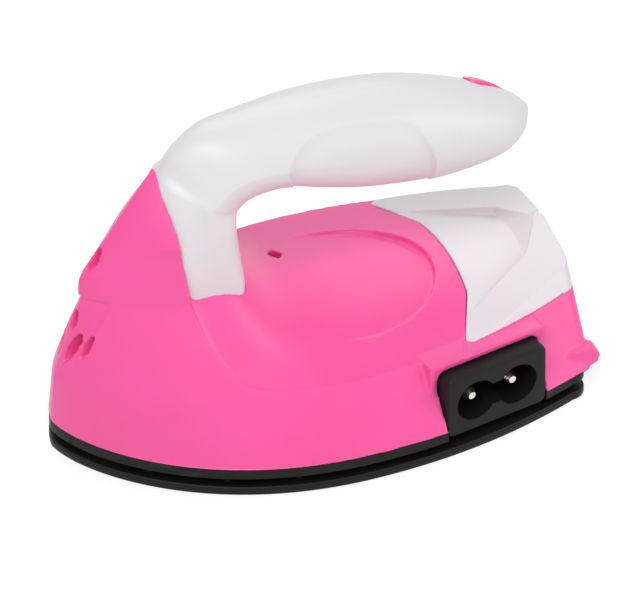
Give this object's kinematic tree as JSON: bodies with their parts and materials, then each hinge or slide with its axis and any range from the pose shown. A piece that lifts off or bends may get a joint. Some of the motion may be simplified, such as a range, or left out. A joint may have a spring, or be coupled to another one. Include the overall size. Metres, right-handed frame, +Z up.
{
  "type": "mini craft iron",
  "caption": "Small craft iron with a boat-shaped coated soleplate, hooded shell with nose vents, overhanging rounded handle with a power button, and a figure-eight mains inlet in its flank.",
  "frame": {"origin": "on the sole's face, midway along the length and the width", "axes": "+X from nose to heel, +Y away from the mains inlet, +Z up"},
  "size_m": [0.0966, 0.0626, 0.0636],
  "materials": {
    "coated_plate": "dark satin non-stick coat",
    "black_plastic": "satin",
    "pink_plastic": "soft gloss",
    "white_plastic": "soft gloss",
    "nickel": "plated",
    "brass": "plain",
    "heater_metal": "plain",
    "film": "amber film",
    "steel": "zinc plated",
    "felt": "felt",
    "clear": "tinted",
    "board": "board",
    "lead_brown": "insulation",
    "lead_black": "insulation",
    "lead_white": "insulation",
    "lead_blue": "insulation"
  },
  "bodies": {
    "iron": {"soleplate": "coated_plate", "heat_skirt": "black_plastic", "body_shell": "pink_plastic", "rear_cover": "white_plastic", "handle_left": "white_plastic", "handle_right": "white_plastic", "switch_body": "black_plastic", "inlet_housing": "black_plastic", "inlet_pins": "nickel", "inlet_terminals": "brass", "ptc_heater": "heater_metal", "heater_film": "film", "heater_clamp": "steel", "clamp_screws": "steel", "insulation_pad": "felt", "thermal_fuse": "brass", "fuse_clip": "steel", "indicator_led": "clear", "led_board": "board", "led_resistor": "board", "live_lead": "lead_brown", "switch_lead": "lead_black", "fuse_lead": "lead_white", "neutral_lead": "lead_blue", "led_leads": "lead_white", "sole_screws": "steel", "shell_screws": "steel", "post_screws": "steel", "handle_screws": "steel"},
    "button": {"power_button": "pink_plastic"}
  },
  "joints": [
    {"name": "button_press", "type": "slide", "parent": "iron", "child": "button", "axis": [-0.5068, -0.4226, -0.7513], "range_m": [0, 0.0008], "stiffness_N_per_m": 800, "springref_m": -0.0004}
  ]
}
